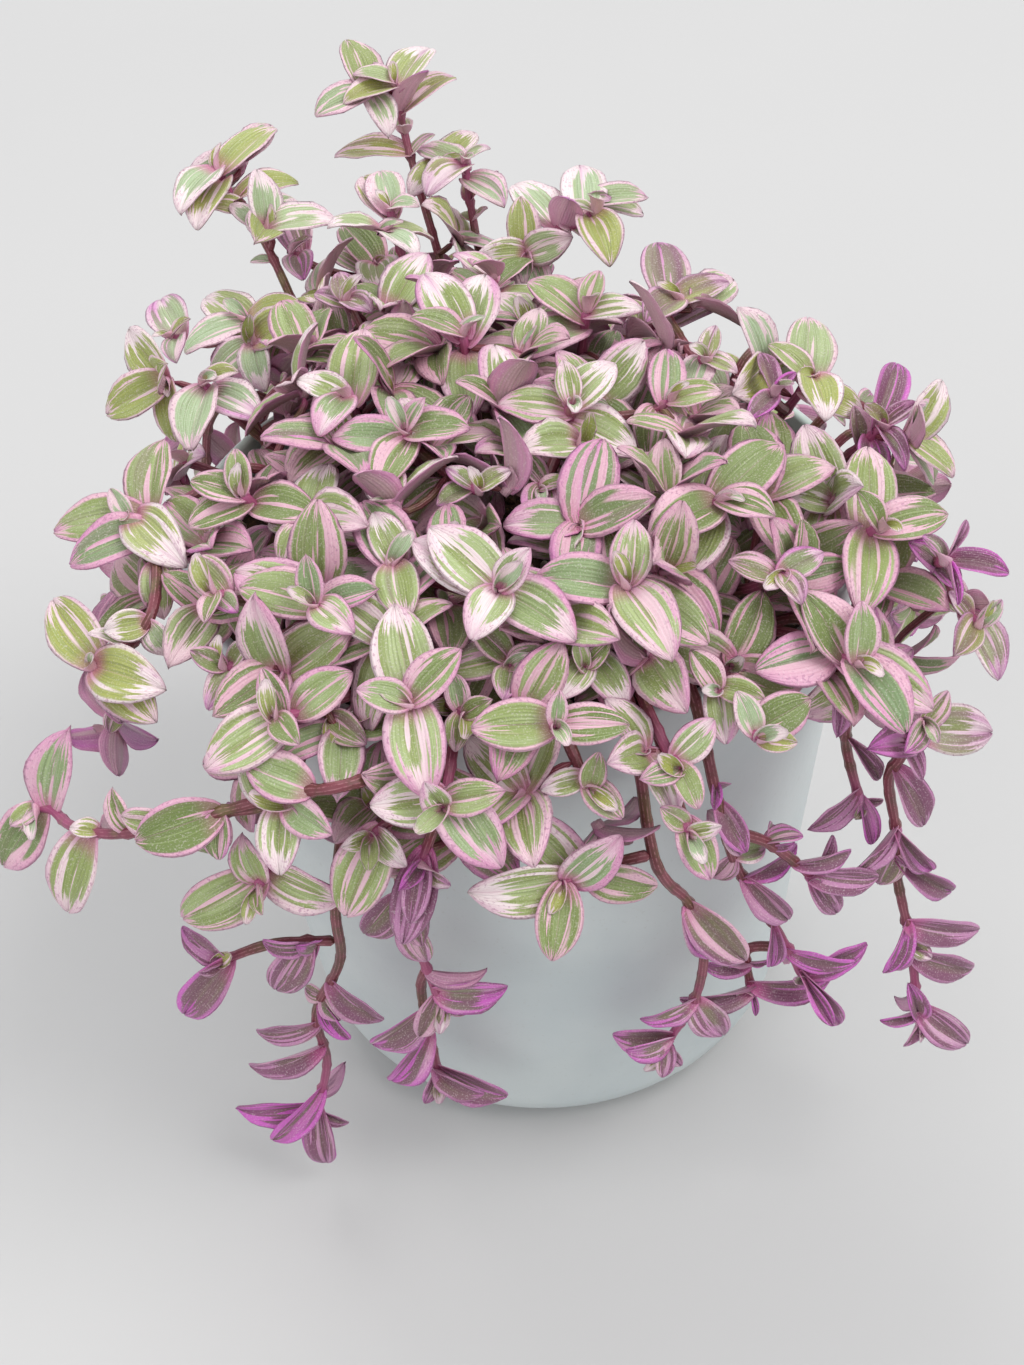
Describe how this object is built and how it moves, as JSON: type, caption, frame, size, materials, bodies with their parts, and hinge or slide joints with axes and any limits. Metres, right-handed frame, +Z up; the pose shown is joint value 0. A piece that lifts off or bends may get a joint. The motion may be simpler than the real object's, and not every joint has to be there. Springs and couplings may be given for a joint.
{
  "type": "potted houseplant",
  "caption": "Turtle vine in a plain round tapered pot: a mound of small striped green and pink leaves whose stems spill over the rim",
  "frame": {"origin": "The middle of the pot's flat underside, which stands on the table.", "axes": "+Z is up, along the pot's axis. -Y is the side that faces the viewer of the picture. +X is that viewer's right."},
  "size_m": [0.2473, 0.2527, 0.2411],
  "materials": {
    "pot": "satin",
    "soil": "matte",
    "leafy_green": "satin",
    "leafy_blush": "satin",
    "leafy_purple": "satin"
  },
  "bodies": {
    "root": {"leafy_stem_back_01": "leafy_green", "leafy_stem_back_02": "leafy_green", "leafy_stem_back_04": "leafy_green", "leafy_stem_back_05": "leafy_blush", "leafy_stem_back_06": "leafy_blush", "leafy_stem_back_07": "leafy_blush", "leafy_stem_back_08": "leafy_blush", "leafy_stem_back_09": "leafy_green", "leafy_stem_back_13": "leafy_blush", "leafy_stem_back_fall_01": "leafy_purple", "leafy_stem_back_fall_02": "leafy_purple", "leafy_stem_back_fall_03": "leafy_purple", "leafy_stem_back_fall_04": "leafy_purple", "leafy_stem_back_fall_05": "leafy_purple", "leafy_stem_crest_01": "leafy_blush", "leafy_stem_crest_02": "leafy_green", "leafy_stem_crest_04": "leafy_blush", "leafy_stem_crest_05": "leafy_blush", "leafy_stem_crest_06": "leafy_blush", "leafy_stem_crest_07": "leafy_blush", "leafy_stem_crest_08": "leafy_blush", "leafy_stem_crest_10": "leafy_blush", "leafy_stem_crest_11": "leafy_green", "leafy_stem_crest_12": "leafy_blush", "leafy_stem_crest_13": "leafy_blush", "leafy_stem_crest_15": "leafy_green", "leafy_stem_crest_16": "leafy_blush", "leafy_stem_crest_18": "leafy_blush", "leafy_stem_crest_20": "leafy_purple", "leafy_stem_crest_21": "leafy_blush", "leafy_stem_crown_01": "leafy_green", "leafy_stem_crown_02": "leafy_green", "leafy_stem_crown_03": "leafy_purple", "leafy_stem_crown_04": "leafy_green", "leafy_stem_crown_05": "leafy_green", "leafy_stem_crown_06": "leafy_blush", "leafy_stem_crown_08": "leafy_green", "leafy_stem_crown_09": "leafy_blush", "leafy_stem_crown_14": "leafy_green", "leafy_stem_crown_15": "leafy_green", "leafy_stem_crown_17": "leafy_green", "leafy_stem_crown_18": "leafy_blush", "leafy_stem_crown_19": "leafy_green", "leafy_stem_crown_21": "leafy_blush", "leafy_stem_crown_24": "leafy_green", "leafy_stem_crown_26": "leafy_blush", "leafy_stem_crown_34": "leafy_purple", "leafy_stem_left_arm": "leafy_green", "leafy_stem_left_fall_01": "leafy_purple", "leafy_stem_left_fall_03": "leafy_purple", "leafy_stem_right_fall_01": "leafy_blush", "leafy_stem_right_fall_02": "leafy_purple", "leafy_stem_right_fall_06": "leafy_purple", "pot": "pot", "soil": "soil"}
  },
  "joints": []
}
